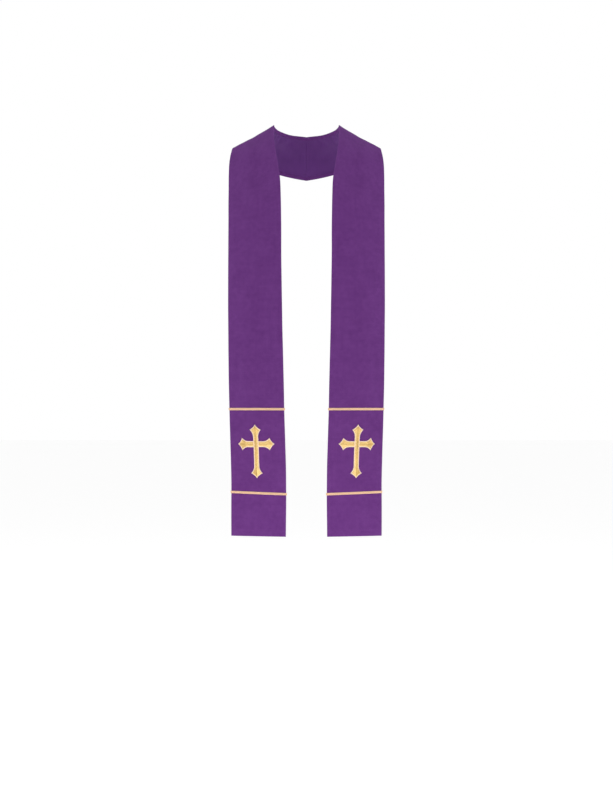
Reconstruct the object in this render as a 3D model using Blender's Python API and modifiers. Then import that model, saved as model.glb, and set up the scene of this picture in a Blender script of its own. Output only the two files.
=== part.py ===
"""Clerical stole in the hollow form it keeps when it is worn.

Two mirrored halves of cloth meet at a seam behind the neck, lie over the shoulders and hang
down the front to a straight hem. Each half carries an embroidered cross between two gold
braids, whose ends turn round the edges of the cloth.

The origin is on the neck edge at the centre-back seam. +Z is up, the front faces -Y and the
wearer's left is +X. Lengths below are in millimetres and are scaled to metres when the
meshes are made.
"""
import math
from collections import namedtuple

import bmesh
import bpy
import numpy as np

MM = 0.001                # metres in a millimetre

# Driving dimensions.
WALL = 2.0                # thickness of the cloth with its interlining
GAP = 0.3                 # clearance between pieces that touch
NECK_DEPTH = 75.0         # from the shoulder ridge back to the nape
NECK_RISE = 20.0          # side-neck points above the nape
SEAM_SLOPE = 0.14         # rise of the edges away from the centre-back seam, a shallow V
SEAM_STEP = 4.0           # distance from the seam to the first section beside it
SECTION_STEP = 24.0       # spacing of the other sections along each half
STRIPS_ACROSS = 6         # faces from the neck edge to the outer edge

BRAID_WIDTH = 6.8         # height of a braid on the cloth
BRAID_RISE = 1.0          # thickness of a braid
BRAID_TURN = 8.0          # length of braid turned on to the back at each edge
BRAID_STRIPS = 8          # faces along the front of a braid
TURN_STEPS = 4            # faces round each turned end

CROSS_DROP = 831.0        # centre of the cross below the side-neck point
CROSS_SHIFT = 3.5         # centre of the cross outward from the middle of the cloth
CROSS_RISE = 1.4          # thickness of the embroidery
UPRIGHT_HALF = 6.8        # half the width of the upright
CROSSBAR_HALF = 7.6       # half the height of the crossbar
END_FLARE = 13.0          # length over which a bar widens towards its end
TIP_HALF = 0.8            # half width of the blunted tip of an end
TIP_POWER = 1.3           # above 1 makes the sides of a pointed end hollow

# One half of the cloth, from the centre-back seam to the hem. "out" is measured from the
# centre plane, "fwd" forward from the shoulder ridge and "drop" down from the side-neck
# point, for the inner (neck) edge and the outer edge. "crown" is how far the middle of the
# section stands out from the straight line between its edges.
Section = namedtuple(
    "Section", "inner_out inner_fwd inner_drop outer_out outer_fwd outer_drop crown")
SECTIONS = (
    Section(0, -75, 20, 0, -113, 131, 1),        # centre-back seam
    Section(43, -65, 16, 64, -105, 119, 2),      # back of the neck
    Section(74, -38, 8, 126, -83, 99, 2),        # shoulder blade
    Section(84, -14, 2, 171, -43, 78, 1),        # behind the ridge
    Section(85, 0, 0, 190, -1, 60, 0),           # shoulder ridge
    Section(85, 38, 34, 196.5, 22, 74, 1),       # front of the shoulder
    Section(81, 67, 69, 200, 41, 102, 3),        # collarbone
    Section(74, 90, 111, 201, 57, 139, 5),       # upper chest
    Section(67.5, 107, 151, 201, 72, 180, 7),
    Section(65.5, 120, 196, 201, 86, 223, 8),
    Section(64.5, 130, 256, 200.5, 97, 272, 8),  # chest
    Section(64, 137, 338, 200.5, 104, 340, 8),
    Section(62, 142, 465, 200.5, 108, 463, 7),   # waist
    Section(59.5, 145, 592, 200, 111, 591, 7),
    Section(56, 148, 741, 197, 114, 741, 6),     # upper braid
    Section(51.5, 152, 910, 192.5, 117, 910, 5), # below the cross
    Section(52, 158, 1064, 191.5, 122, 1064, 5), # hem
)

# Each braid's middle line, by its drop at the inner and at the outer edge.
Braid = namedtuple("Braid", "name inner_drop outer_drop")
BRAIDS = (
    Braid("upper_trim", 741, 741),
    Braid("lower_trim", 956, 952),
)

# The four arms of the cross: where each points (across, up), how far its tip is from the
# centre, half its bar width, where its bar leaves the centre block, half its widest part and
# how far that lies from the tip.
Arm = namedtuple("Arm", "across up reach bar_half start flare_half point")
ARMS = (
    Arm(0, 1, 50.5, UPRIGHT_HALF, CROSSBAR_HALF, 14.2, 12.5),
    Arm(0, -1, 86.0, UPRIGHT_HALF, CROSSBAR_HALF, 14.2, 12.5),
    Arm(1, 0, 47.0, CROSSBAR_HALF, UPRIGHT_HALF, 15.6, 10.5),
    Arm(-1, 0, 47.0, CROSSBAR_HALF, UPRIGHT_HALF, 15.6, 10.5),
)
TIP_SHARES = (0.0, 0.35, 0.7, 1.0)        # rows of faces in the point of an arm
FLARE_SHARES = (0.2, 0.5, 1.0)            # rows of faces in its flare
ARM_COLUMNS = (-1, 0, 1)                  # edges and middle of an arm

RUN_REACH = 1.0           # half the step over which the direction along the cloth is taken
SHARE_REACH = 0.01        # the same across the cloth, as a share of its width
FIT = 0.003               # how closely a drop is found
WELD = 0.03               # corners of the cross nearer than this are one

SIDES = {"left": 1, "right": -1}          # sign of X on the wearer's left and right
RIDGE_SECTION = 4                         # place of the shoulder ridge in SECTIONS

# Base colour, metallic and roughness of each finish.
Finish = namedtuple("Finish", "colour metallic roughness")
CLOTH_FINISH = Finish((0.127, 0.036, 0.191, 1.0), 0.0, 0.75)
BRAID_FINISH = Finish((0.80, 0.55, 0.22, 1.0), 0.35, 0.45)
CROSS_FINISH = Finish((0.74, 0.48, 0.12, 1.0), 0.35, 0.40)


class Half:
    """The outer face of one half, as a smooth surface through SECTIONS."""

    def __init__(self, side):
        self.side = side
        table = np.array(SECTIONS, dtype=float)
        inner = self.place(table[:, 0:3])
        outer = self.place(table[:, 3:6])
        middle = (inner + outer) / 2
        steps = np.linalg.norm(np.diff(middle, axis=0), axis=1)
        self.knots = np.concatenate(([0.0], np.cumsum(steps)))
        self.values = np.column_stack((inner, outer, table[:, 6]))
        self.slopes = np.gradient(self.values, self.knots, axis=0)
        self.slopes[0, 0:3] = self.slopes[0, 3:6] = self.seam_slope(outer[0] - inner[0])
        self.length = self.knots[-1]

    def place(self, triples):
        """Turn (out, fwd, drop) into x, y, z about the nape."""
        out, forward, drop = triples.T
        x = self.side * (out + GAP / 2 * (out == 0))
        return np.column_stack((x, -NECK_DEPTH - forward, NECK_RISE - drop))

    def seam_slope(self, down):
        """Direction of both edges at the seam: square to it but for the shallow V."""
        return np.array((self.side, 0.0, 0.0)) - SEAM_SLOPE * down / np.linalg.norm(down)

    def section(self, run):
        """Inner edge, outer edge and crown at a distance from the centre-back seam."""
        last = len(self.knots) - 2
        index = min(max(np.searchsorted(self.knots, run) - 1, 0), last)
        span = self.knots[index + 1] - self.knots[index]
        t = (run - self.knots[index]) / span
        start = self.values[index] * (1 + 2 * t) * (1 - t) ** 2
        start = start + self.slopes[index] * span * t * (1 - t) ** 2
        end = self.values[index + 1] * (3 - 2 * t) * t ** 2
        end = end - self.slopes[index + 1] * span * (1 - t) * t ** 2
        row = start + end
        return row[0:3], row[3:6], row[6]

    def face_point(self, run, share):
        """A point of the crowned surface; share is 0 at the inner edge and 1 at the outer."""
        inner, outer, crown = self.section(run)
        ruled = inner + (outer - inner) * share
        bulge = crown * 4 * share * (1 - share)
        return ruled + self.chord_normal(run) * bulge

    def chord_normal(self, run):
        """Outward direction square to the straight line across a section."""
        before = self.section(max(run - RUN_REACH, 0))
        after = self.section(min(run + RUN_REACH, self.length))
        along = (after[0] + after[1]) - (before[0] + before[1])
        inner, outer, _ = self.section(run)
        normal = np.cross(along, outer - inner) * self.side
        return normal / np.linalg.norm(normal)

    def frame(self, run, share):
        """A surface point with its outward normal and its direction across the cloth."""
        before, after = max(run - RUN_REACH, 0), min(run + RUN_REACH, self.length)
        along = self.face_point(after, share) - self.face_point(before, share)
        inward, outward = max(share - SHARE_REACH, 0), min(share + SHARE_REACH, 1)
        across = self.face_point(run, outward) - self.face_point(run, inward)
        across = across / np.linalg.norm(across)
        normal = np.cross(along, across) * self.side
        return self.face_point(run, share), normal / np.linalg.norm(normal), across

    def lifted(self, run, share, lift, beyond=0.0):
        """A point moved out along the normal, and beyond an edge along the section."""
        point, normal, across = self.frame(run, share)
        return point + normal * lift + across * beyond

    def width(self, run):
        """Straight width of a section."""
        inner, outer, _ = self.section(run)
        return np.linalg.norm(outer - inner)

    def run_at(self, drop, share):
        """Distance from the centre-back seam at which the front has come down by drop."""
        low, high = self.knots[RIDGE_SECTION], self.length
        target = NECK_RISE - drop
        while high - low > FIT:
            middle = (low + high) / 2
            if self.face_point(middle, share)[2] > target:
                low = middle
            else:
                high = middle
        return (low + high) / 2


def clear_scene():
    """Remove everything that the scene starts with."""
    for item in list(bpy.data.objects):
        bpy.data.objects.remove(item, do_unlink=True)


def make_material(name, finish):
    """One Principled material."""
    material = bpy.data.materials.new(name)
    material.use_nodes = True
    shader = material.node_tree.nodes["Principled BSDF"]
    shader.inputs["Base Color"].default_value = finish.colour
    shader.inputs["Metallic"].default_value = finish.metallic
    shader.inputs["Roughness"].default_value = finish.roughness
    material.diffuse_color = finish.colour
    return material


def new_object(name, mesh, material, parent):
    """Put a mesh in the part's collection under its empty, shaded smooth."""
    mesh.materials.append(material)
    mesh.shade_smooth()
    item = bpy.data.objects.new(name, mesh)
    item.parent = parent
    parent.users_collection[0].objects.link(item)
    return item


def sheet_mesh(name, rows, side):
    """A grid of faces through equal rows of points, facing out on either side."""
    builder = bmesh.new()
    grid = [[builder.verts.new(point * MM) for point in row] for row in rows]
    for row, following in zip(grid, grid[1:]):
        for column in range(len(row) - 1):
            corners = [row[column], following[column], following[column + 1], row[column + 1]]
            builder.faces.new(corners if side > 0 else corners[::-1])
    mesh = bpy.data.meshes.new(name)
    builder.to_mesh(mesh)
    builder.free()
    return mesh


def thicken(item, thickness, offset):
    """Give an open surface its thickness: offset 1 is outward, -1 is inward."""
    shell = item.modifiers.new("thickness", "SOLIDIFY")
    shell.thickness = thickness * MM
    shell.offset = offset
    shell.use_even_offset = True


def build_half(name, half, material, parent):
    """The cloth of one half."""
    sections = round(half.length / SECTION_STEP) + 1
    runs = np.insert(np.linspace(0, half.length, sections), 1, SEAM_STEP)
    shares = np.linspace(0, 1, STRIPS_ACROSS + 1)
    rows = [[half.face_point(run, share) for share in shares] for run in runs]
    item = new_object(name, sheet_mesh(name, rows, half.side), material, parent)
    thicken(item, WALL, -1)


def braid_stations(width):
    """Places round a braid: share across, lift from the face and reach past the edge."""
    turn_share = BRAID_TURN / width
    radius = WALL / 2 + GAP
    turn = []
    for step in range(1, TURN_STEPS):
        angle = math.pi * step / TURN_STEPS
        turn.append((radius * math.cos(angle) - WALL / 2, radius * math.sin(angle)))
    under = -WALL - GAP
    front = [(share, GAP, 0.0) for share in np.linspace(0, 1, BRAID_STRIPS + 1)]
    inner_turn = [(0.0, lift, -beyond) for lift, beyond in reversed(turn)]
    outer_turn = [(1.0, lift, beyond) for lift, beyond in turn]
    inner_back = [(turn_share, under, 0.0), (0.0, under, 0.0)]
    outer_back = [(1.0, under, 0.0), (1 - turn_share, under, 0.0)]
    return inner_back + inner_turn + front + outer_turn + outer_back


def build_braid(name, half, braid, material, parent):
    """One braid, laid across the front with both ends turned on to the back."""
    inner_run = half.run_at(braid.inner_drop, 0.0)
    outer_run = half.run_at(braid.outer_drop, 1.0)
    stations = braid_stations(half.width(inner_run))
    rows = []
    for edge in (-0.5, 0.0, 0.5):
        row = []
        for share, lift, beyond in stations:
            run = inner_run + (outer_run - inner_run) * share + edge * BRAID_WIDTH
            row.append(half.lifted(run, share, lift, beyond))
        rows.append(row)
    item = new_object(name, sheet_mesh(name, rows, half.side), material, parent)
    thicken(item, BRAID_RISE, 1)


def arm_rows(arm):
    """Distance from the centre and half width of each row of an arm, tip first."""
    rows = []
    for share in TIP_SHARES:
        half = TIP_HALF + (arm.flare_half - TIP_HALF) * share ** TIP_POWER
        rows.append((arm.reach - arm.point * share, half))
    for share in FLARE_SHARES:
        half = arm.bar_half + (arm.flare_half - arm.bar_half) * (1 - share) ** 2
        rows.append((arm.reach - arm.point - END_FLARE * share, half))
    rows.append((arm.start, arm.bar_half))
    return rows


def build_cross(name, half, material, parent):
    """The embroidered cross, on the cloth's own surface moved out by the gap."""
    centre_run = half.run_at(CROSS_DROP, 0.5)
    width = half.width(centre_run)
    centre_share = 0.5 + CROSS_SHIFT / width

    def on_cloth(across, up):
        return half.lifted(centre_run - up, centre_share + across / width, GAP)

    builder = bmesh.new()
    patches = [[[(column * UPRIGHT_HALF, row * CROSSBAR_HALF) for column in ARM_COLUMNS]
                for row in ARM_COLUMNS]]
    for arm in ARMS:
        patch = []
        for reach, half_width in arm_rows(arm):
            patch.append([(arm.across * reach + arm.up * column * half_width,
                           arm.up * reach - arm.across * column * half_width)
                          for column in ARM_COLUMNS])
        patches.append(patch)
    for patch in patches:
        grid = [[builder.verts.new(on_cloth(*place) * MM) for place in row] for row in patch]
        for row, following in zip(grid, grid[1:]):
            for column in range(len(row) - 1):
                builder.faces.new((row[column], row[column + 1],
                                   following[column + 1], following[column]))
    bmesh.ops.remove_doubles(builder, verts=builder.verts, dist=WELD * MM)
    bmesh.ops.recalc_face_normals(builder, faces=builder.faces)
    if sum(face.normal.y for face in builder.faces) > 0:
        bmesh.ops.reverse_faces(builder, faces=builder.faces)
    mesh = bpy.data.meshes.new(name)
    builder.to_mesh(mesh)
    builder.free()
    item = new_object(name, mesh, material, parent)
    thicken(item, CROSS_RISE, 1)


def main():
    """Build both halves with their braids and crosses."""
    clear_scene()
    collection = bpy.data.collections.new("clerical_stole")
    bpy.context.scene.collection.children.link(collection)
    nape = bpy.data.objects.new("nape", None)
    collection.objects.link(nape)
    cloth = make_material("purple_cloth", CLOTH_FINISH)
    gold_braid = make_material("gold_braid", BRAID_FINISH)
    gold_thread = make_material("gold_embroidery", CROSS_FINISH)
    for word, side in SIDES.items():
        half = Half(side)
        build_half(f"{word}_half", half, cloth, nape)
        for braid in BRAIDS:
            build_braid(f"{braid.name}_{word}", half, braid, gold_braid, nape)
        build_cross(f"cross_{word}", half, gold_thread, nape)


main()
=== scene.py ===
"""The finished look of a clerical stole, as worn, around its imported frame.

Lengths are millimetres in the stole's own sizes and become metres where a mesh is made. A
place on the cloth is a run, the distance from the centre-back seam, and a share, 0 at the
neck edge and 1 at the outer edge.
"""
import logging
import math
from dataclasses import astuple, dataclass
from enum import Enum
from typing import Any, Dict, List, Sequence, Tuple, Union

import bpy
import numpy as np
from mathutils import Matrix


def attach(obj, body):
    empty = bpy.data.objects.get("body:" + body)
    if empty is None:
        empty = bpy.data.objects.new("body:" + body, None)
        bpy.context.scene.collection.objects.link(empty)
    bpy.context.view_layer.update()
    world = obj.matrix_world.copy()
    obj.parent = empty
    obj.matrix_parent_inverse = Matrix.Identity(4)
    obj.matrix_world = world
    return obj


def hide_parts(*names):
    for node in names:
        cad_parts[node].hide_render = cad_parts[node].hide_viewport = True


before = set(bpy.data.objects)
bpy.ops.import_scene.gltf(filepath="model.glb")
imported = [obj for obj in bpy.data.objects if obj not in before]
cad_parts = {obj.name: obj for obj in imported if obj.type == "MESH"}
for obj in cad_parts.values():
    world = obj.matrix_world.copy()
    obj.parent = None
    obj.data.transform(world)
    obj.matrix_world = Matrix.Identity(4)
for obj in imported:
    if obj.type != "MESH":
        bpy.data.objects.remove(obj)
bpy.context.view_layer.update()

LOG = logging.getLogger("stole")
MM = 0.001                          # metres in a millimetre
BODY = "root"                       # the frame's only body
Colour = Tuple[float, float, float, float]
Number = Union[float, "Field"]
# Points, faces, and a number or vector for each point by attribute name.
Shape = Tuple[np.ndarray, List[List[int]], Dict[str, np.ndarray]]

SHEET_WIDTH = 145.0                 # finished width of the cloth


# ---- Shader maths ----
class Field:
    """A value socket whose operators add Math nodes to its graph."""

    def __init__(self, graph: "Graph", socket: bpy.types.NodeSocket) -> None:
        """Wrap one output socket of a graph."""
        self.graph = graph
        self.socket = socket

    def _maths(self, operation: str, first: Number, second: Number = 0.0) -> "Field":
        """The result of a new Math node."""
        return self.graph.node("ShaderNodeMath", {"operation": operation}, {0: first, 1: second})

    def __add__(self, other: Number) -> "Field":
        """Add."""
        return self._maths("ADD", self, other)

    def __radd__(self, other: float) -> "Field":
        """Add to a number."""
        return self._maths("ADD", other, self)

    def __sub__(self, other: Number) -> "Field":
        """Subtract."""
        return self._maths("SUBTRACT", self, other)

    def __rsub__(self, other: float) -> "Field":
        """Subtract from a number."""
        return self._maths("SUBTRACT", other, self)

    def __mul__(self, other: Number) -> "Field":
        """Multiply."""
        return self._maths("MULTIPLY", self, other)

    def __rmul__(self, other: float) -> "Field":
        """Multiply a number."""
        return self._maths("MULTIPLY", other, self)

    def wave(self) -> "Field":
        """Sine of the value."""
        return self._maths("SINE", self)

    def clamped(self) -> "Field":
        """The value held between 0 and 1."""
        return self._maths("MINIMUM", self._maths("MAXIMUM", self, 0.0), 1.0)

    def below(self, limit: float, softness: float) -> "Field":
        """A mask that falls from 1 to 0 over a width centred on the limit."""
        return ((limit - self) * (1.0 / softness) + 0.5).clamped()


class Graph:
    """A node tree, with short ways to add to it."""

    def __init__(self, tree: bpy.types.NodeTree) -> None:
        """Wrap the tree of a material or of the world."""
        self.tree = tree

    def node(self, kind: str, settings: Dict[str, Any], inputs: Dict[Any, Any],
             output: Union[int, str] = 0) -> Field:
        """Add any node: its settings first, then the values or links of its sockets.

        Args:
            kind: the node's type.
            settings: properties of the node.
            inputs: a number, tuple or Field for each socket, by name or place.
            output: the output to hand back.

        Returns:
            The chosen output.
        """
        made = self.tree.nodes.new(kind)
        for key, value in settings.items():
            setattr(made, key, value)
        for key, value in inputs.items():
            if isinstance(value, Field):
                self.tree.links.new(value.socket, made.inputs[key])
            else:
                made.inputs[key].default_value = value
        return Field(self, made.outputs[output])

    def attribute(self, name: str) -> Field:
        """A number stored on the mesh, by its name."""
        return self.node("ShaderNodeAttribute", {"attribute_name": name}, {}, "Fac")

    def place(self, name: str) -> Field:
        """A stored place (across, along, 0) in millimetres, by its name."""
        return self.node("ShaderNodeAttribute", {"attribute_name": name}, {}, "Vector")

    def axis(self, vector: Field, name: str) -> Field:
        """One part of a vector: X, Y or Z."""
        return self.node("ShaderNodeSeparateXYZ", {}, {0: vector}, name)

    def stretched(self, vector: Field, scale: Tuple[float, float, float]) -> Field:
        """A vector multiplied part by part."""
        return self.node("ShaderNodeVectorMath", {"operation": "MULTIPLY"},
                         {0: vector, 1: scale})

    def noise(self, vector: Field, scale: float, detail: float = 2.0) -> Field:
        """Smooth noise from about -1 to 1, with finer layers as the detail goes up."""
        found = self.node("ShaderNodeTexNoise", {},
                          {"Vector": vector, "Scale": scale, "Detail": detail})
        return (found - 0.5) * 2.0

    def mixed(self, factor: Number, low: Any, high: Any) -> Field:
        """The first colour at a factor of 0, blended to the second at 1."""
        return self.node("ShaderNodeMix", {"data_type": "RGBA"},
                         {"Factor": factor, 6: low, 7: high}, 2)

    def bump(self, height: Field, depth: float) -> Field:
        """A normal from a height of 0 to 1, where 1 stands for a depth in millimetres."""
        return self.node("ShaderNodeBump", {}, {"Distance": depth * MM, "Height": height},
                         "Normal")


class MaterialGraph(Graph):
    """The tree of a new material, which starts with one Principled shader."""

    def __init__(self, name: str) -> None:
        """Start a material.

        Args:
            name: its name.
        """
        self.material = bpy.data.materials.new(name)
        self.material.use_nodes = True
        super().__init__(self.material.node_tree)
        self.shader = self.tree.nodes["Principled BSDF"]

    def finish(self, values: Dict[str, Any]) -> bpy.types.Material:
        """Set or link the shader's own sockets.

        Args:
            values: a value or Field for each socket.

        Returns:
            The finished material.
        """
        for key, value in values.items():
            if isinstance(value, Field):
                self.tree.links.new(value.socket, self.shader.inputs[key])
            else:
                self.shader.inputs[key].default_value = value
        return self.material


# ---- Finishes ----
@dataclass(frozen=True)
class TwillFinish:
    """Fine purple twill with a faint sheen, a little worn along its folds."""

    name: str = "purple_twill"
    light_yarn: Colour = (0.131, 0.032, 0.193, 1.0)
    dark_yarn: Colour = (0.071, 0.010, 0.112, 1.0)
    worn_yarn: Colour = (0.155, 0.050, 0.222, 1.0)
    rib: float = 0.80             # spacing of the diagonal ribs
    yarn: float = 0.42            # spacing of the weft yarns
    depth: float = 0.10           # height of the ribs
    roughness: float = 0.78

    def make(self) -> bpy.types.Material:
        """Build the material.

        Returns:
            The material.
        """
        graph = MaterialGraph(self.name)
        place = graph.place("weave")
        across = graph.axis(place, "X")
        along = graph.axis(place, "Y")
        turn = 2 * math.pi
        ribs = ((across + along) * (turn / self.rib)).wave()
        yarns = ((along - across * 0.5) * (turn / self.yarn)).wave()
        warp = graph.noise(graph.stretched(place, (1.5, 0.012, 1.0)), 1.0)
        weft = graph.noise(graph.stretched(place, (0.014, 1.2, 1.0)), 1.0)
        mottle = graph.noise(place, 0.022, 4.0)
        slubs = graph.noise(place, 0.085, 3.0)
        light = (0.5 + ribs * 0.22 + yarns * 0.08 + warp * 0.16 + weft * 0.20
                 + mottle * 0.26 + slubs * 0.28).clamped()
        toned = graph.mixed(light, self.dark_yarn, self.light_yarn)
        rubbed = (graph.attribute("edge").below(1.3, 1.6) * (0.55 + mottle * 0.9)).clamped()
        height = 0.5 + ribs * 0.30 + yarns * 0.10 + warp * 0.08 + weft * 0.08
        return graph.finish({
            "Base Color": graph.mixed(rubbed * 0.35, toned, self.worn_yarn),
            "Roughness": self.roughness - weft * 0.05 - mottle * 0.04,
            "Normal": graph.bump(height, self.depth),
            "Specular IOR Level": 0.20,
            "Sheen Weight": 0.08,
            "Sheen Roughness": 0.45,
            "Sheen Tint": (0.72, 0.55, 0.86, 1.0),
        })


@dataclass(frozen=True)
class LiningFinish:
    """Plain-woven lining in the same purple, thinner and smoother than the face."""

    name: str = "purple_lining"
    light_yarn: Colour = (0.118, 0.027, 0.190, 1.0)
    dark_yarn: Colour = (0.070, 0.011, 0.124, 1.0)
    yarn: float = 0.55            # spacing of the yarns
    depth: float = 0.05
    roughness: float = 0.52

    def make(self) -> bpy.types.Material:
        """Build the material.

        Returns:
            The material.
        """
        graph = MaterialGraph(self.name)
        place = graph.place("lining_weave")
        turn = 2 * math.pi / self.yarn
        weave = (graph.axis(place, "X") * turn).wave() * (graph.axis(place, "Y") * turn).wave()
        slubs = graph.noise(graph.stretched(place, (0.02, 0.9, 1.0)), 1.0)
        mottle = graph.noise(place, 0.03, 3.0)
        light = (0.5 + weave * 0.20 + slubs * 0.30 + mottle * 0.25).clamped()
        return graph.finish({
            "Base Color": graph.mixed(light, self.dark_yarn, self.light_yarn),
            "Roughness": self.roughness - slubs * 0.08 + mottle * 0.05,
            "Normal": graph.bump(0.5 + weave * 0.3 + slubs * 0.2, self.depth),
            "Specular IOR Level": 0.24,
            "Sheen Weight": 0.03,
            "Sheen Roughness": 0.35,
            "Sheen Tint": (0.65, 0.45, 0.85, 1.0),
        })


@dataclass(frozen=True)
class ThreadFinish:
    """Metallised thread: a foil wound round a core, each stitch a little different, with painted
    sheen on the cross's fill.
    """

    name: str
    light: Colour
    dark: Colour
    wind: float = 0.34            # spacing of the foil's turns
    depth: float = 0.03
    metallic: float = 0.25
    roughness: float = 0.42

    def make(self) -> bpy.types.Material:
        """Build the material.

        Returns:
            The material.
        """
        graph = MaterialGraph(self.name)
        along = graph.attribute("along")
        tone = graph.attribute("tone")
        foil = (along * (2 * math.pi / self.wind)).wave()
        rubbed = graph.noise(graph.place("lie"), 0.5, 2.0)
        # The tone differs at random for most threads; on the cross's fill it also carries
        # painted sheen, lighter for one slant of stitch.
        shade = (tone * 0.8 + foil * 0.08 + rubbed * 0.16 + 0.1).clamped()
        return graph.finish({
            "Base Color": graph.mixed(shade, self.dark, self.light),
            "Roughness": self.roughness + foil * 0.05 - rubbed * 0.05,
            "Normal": graph.bump(0.5 + foil * 0.5, self.depth),
            "Metallic": self.metallic,
            "Specular IOR Level": 0.5,
        })


GOLDS = (
    ThreadFinish("braid_gold", (0.92, 0.64, 0.44, 1.0), (0.62, 0.38, 0.21, 1.0)),
    ThreadFinish("border_gold", (1.0, 0.82, 0.65, 1.0), (0.92, 0.68, 0.49, 1.0)),
    # The fill's light and dark serve both its random tone and its painted sheen.
    ThreadFinish("fill_gold", (0.95, 0.71, 0.29, 1.0), (0.54, 0.32, 0.085, 1.0)),
    ThreadFinish("padding_gold", (0.55, 0.33, 0.08, 1.0), (0.38, 0.20, 0.04, 1.0)),
)


@dataclass(frozen=True)
class SewingFinish:
    """Matt polyester sewing thread in the colour of the cloth."""

    name: str = "purple_sewing_thread"
    light: Colour = (0.13, 0.035, 0.20, 1.0)
    dark: Colour = (0.07, 0.012, 0.12, 1.0)
    twist: float = 0.5

    def make(self) -> bpy.types.Material:
        """Build the material.

        Returns:
            The material.
        """
        graph = MaterialGraph(self.name)
        plies = (graph.attribute("along") * (2 * math.pi / self.twist)).wave()
        shade = (graph.attribute("tone") * 0.6 + plies * 0.2 + 0.2).clamped()
        return graph.finish({
            "Base Color": graph.mixed(shade, self.dark, self.light),
            "Roughness": 0.6 + plies * 0.05,
            "Normal": graph.bump(0.5 + plies * 0.5, 0.04),
            "Specular IOR Level": 0.3,
        })


@dataclass(frozen=True)
class FloorFinish:
    """Pale matt studio floor."""

    name: str = "pale_floor"
    colour: Colour = (0.90, 0.90, 0.90, 1.0)
    glow: float = 0.50            # lifts the far floor to the white of the room

    def make(self) -> bpy.types.Material:
        """Build the material.

        Returns:
            The material.
        """
        return MaterialGraph(self.name).finish({
            "Base Color": self.colour,
            "Roughness": 0.9,
            "Specular IOR Level": 0.1,
            "Emission Color": self.colour,
            "Emission Strength": self.glow,
        })


# ---- Small sums ----
CORNER_EASE = 0.9                   # half the length over which stitches fan at a corner


def unit(vectors: np.ndarray) -> np.ndarray:
    """Vectors along the last axis, scaled to a length of 1."""
    return vectors / np.linalg.norm(vectors, axis=-1, keepdims=True)


def spaced(marks: Sequence[float], step: float) -> np.ndarray:
    """Nearly even stations that include every mark.

    Args:
        marks: places that have to be stations, in order.
        step: spacing between them, at most.

    Returns:
        The stations.
    """
    parts = [np.linspace(low, high, math.ceil((high - low) / step) + 1)[:-1]
             for low, high in zip(marks[:-1], marks[1:])]
    return np.concatenate(parts + [np.array(marks[-1:])])


def smooth_step(value: np.ndarray, low: float, high: float) -> np.ndarray:
    """0 below low, 1 above high and smooth between."""
    t = np.clip((value - low) / (high - low), 0, 1)
    return t * t * (3 - 2 * t)


def along_line(line: np.ndarray, pitch: float) -> Tuple[np.ndarray, np.ndarray]:
    """Even stations along a line and the direction to its left at each.

    Args:
        line: points of the line.
        pitch: spacing of the stations.

    Returns:
        Stations and unit vectors to the left of the line's direction.
    """
    steps = np.linalg.norm(np.diff(line, axis=0), axis=1)
    measure = np.concatenate(([0.0], np.cumsum(steps)))
    stations = np.linspace(0, measure[-1], max(2, round(measure[-1] / pitch)))
    places, ahead, behind = (
        np.column_stack([np.interp(stations + offset, measure, line[:, k]) for k in (0, 1)])
        for offset in (0.0, CORNER_EASE, -CORNER_EASE))
    forward = unit(ahead - behind)
    return places, np.column_stack((-forward[:, 1], forward[:, 0]))


def distance_to(line: np.ndarray, places: np.ndarray) -> np.ndarray:
    """Distance from each place to the nearest part of a line.

    Args:
        line: points of the line.
        places: places to measure from, with two numbers on the last axis.

    Returns:
        Distances.
    """
    start, reach = line[:-1], np.diff(line, axis=0)
    offset = places[..., None, :] - start
    t = np.clip((offset * reach).sum(-1) / np.maximum((reach ** 2).sum(-1), 1e-9), 0, 1)
    return np.linalg.norm(offset - t[..., None] * reach, axis=-1).min(-1)


# ---- The surface of one half ----
class Side(Enum):
    """Which half, by the sign of X on the wearer's side."""

    LEFT = 1
    RIGHT = -1

    @property
    def word(self) -> str:
        """The side's name in node names."""
        return self.name.lower()


@dataclass(frozen=True)
class Section:
    """One cut across a half.

    "out" is measured from the centre plane, "forward" from the shoulder ridge and "drop"
    down from the side-neck point. The crown is how far the middle stands out.
    """

    inner_out: float
    inner_forward: float
    inner_drop: float
    outer_out: float
    outer_forward: float
    outer_drop: float
    crown: float


SECTIONS = (
    Section(0, -75, 20, 0, -113, 131, 1),        # centre-back seam
    Section(43, -65, 16, 64, -105, 119, 2),      # back of the neck
    Section(74, -38, 8, 126, -83, 99, 2),        # shoulder blade
    Section(84, -14, 2, 171, -43, 78, 1),        # behind the ridge
    Section(85, 0, 0, 190, -1, 60, 0),           # shoulder ridge
    Section(85, 38, 34, 196.5, 22, 74, 1),       # front of the shoulder
    Section(81, 67, 69, 200, 41, 102, 3),        # collarbone
    Section(74, 90, 111, 201, 57, 139, 5),       # upper chest
    Section(67.5, 107, 151, 201, 72, 180, 7),
    Section(65.5, 120, 196, 201, 86, 223, 8),
    Section(64.5, 130, 256, 200.5, 97, 272, 8),  # chest
    Section(64, 137, 338, 200.5, 104, 340, 8),
    Section(62, 142, 465, 200.5, 108, 463, 7),   # waist
    Section(59.5, 145, 592, 200, 111, 591, 7),
    Section(56, 148, 741, 197, 114, 741, 6),     # upper braid
    Section(51.5, 152, 910, 192.5, 117, 910, 5),  # below the cross
    Section(52, 158, 1064, 191.5, 122, 1064, 5),  # hem
)
RIDGE_SECTION = 4                   # place of the shoulder ridge in SECTIONS


@dataclass(frozen=True)
class Fold:
    """A soft ridge, or a trough where its height is negative, from one place to another."""

    start_run: float
    start_share: float
    end_run: float
    end_share: float
    width: float
    height: float


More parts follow.
